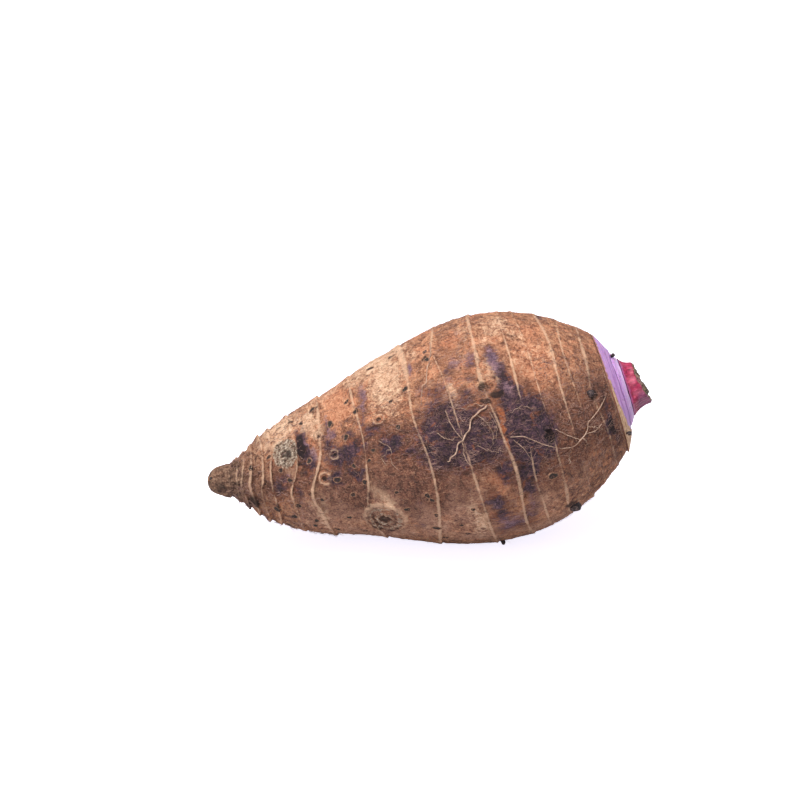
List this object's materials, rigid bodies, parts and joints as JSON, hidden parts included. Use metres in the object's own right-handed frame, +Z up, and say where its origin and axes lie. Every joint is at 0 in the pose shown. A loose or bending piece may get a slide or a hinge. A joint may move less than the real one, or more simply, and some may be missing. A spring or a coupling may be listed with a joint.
{
  "type": "taro root",
  "caption": "Whole taro root lying on its belly: ringed brown corm with a root tail, lilac trimmed leaf bases, a cut pink leaf stalk stump, side buds and rootlets.",
  "frame": {"origin": "middle of the bounding box, on the surface that the root rests on", "axes": "+X from the root tail to the crown and its cut leaf stalk, -Y the front that shows best, +Z up"},
  "size_m": [0.1968, 0.1016, 0.0984],
  "materials": {
    "skin": "rough, dry and fibrous corm skin",
    "sheath": "fresh, smooth cut leaf base",
    "husk": "dry and papery",
    "stalk": "fresh, moist and ribbed",
    "stalk_core": "cut, drying edge",
    "bud_scale": "dry dark scale",
    "rootlet": "dry pale fibre"
  },
  "bodies": {
    "root": {"corm": "skin", "outer_leaf_base": "sheath", "inner_leaf_base": "sheath", "husk_band": "husk", "leaf_stalk": "stalk", "stalk_core": "stalk_core", "side_bud_1": "bud_scale", "side_bud_2": "bud_scale", "side_bud_3": "bud_scale", "side_bud_4": "bud_scale", "side_bud_5": "bud_scale", "rootlet_1": "rootlet", "rootlet_2": "rootlet", "rootlet_3": "rootlet", "rootlet_4": "rootlet", "rootlet_5": "rootlet", "rootlet_6": "rootlet", "rootlet_7": "rootlet"}
  },
  "joints": []
}
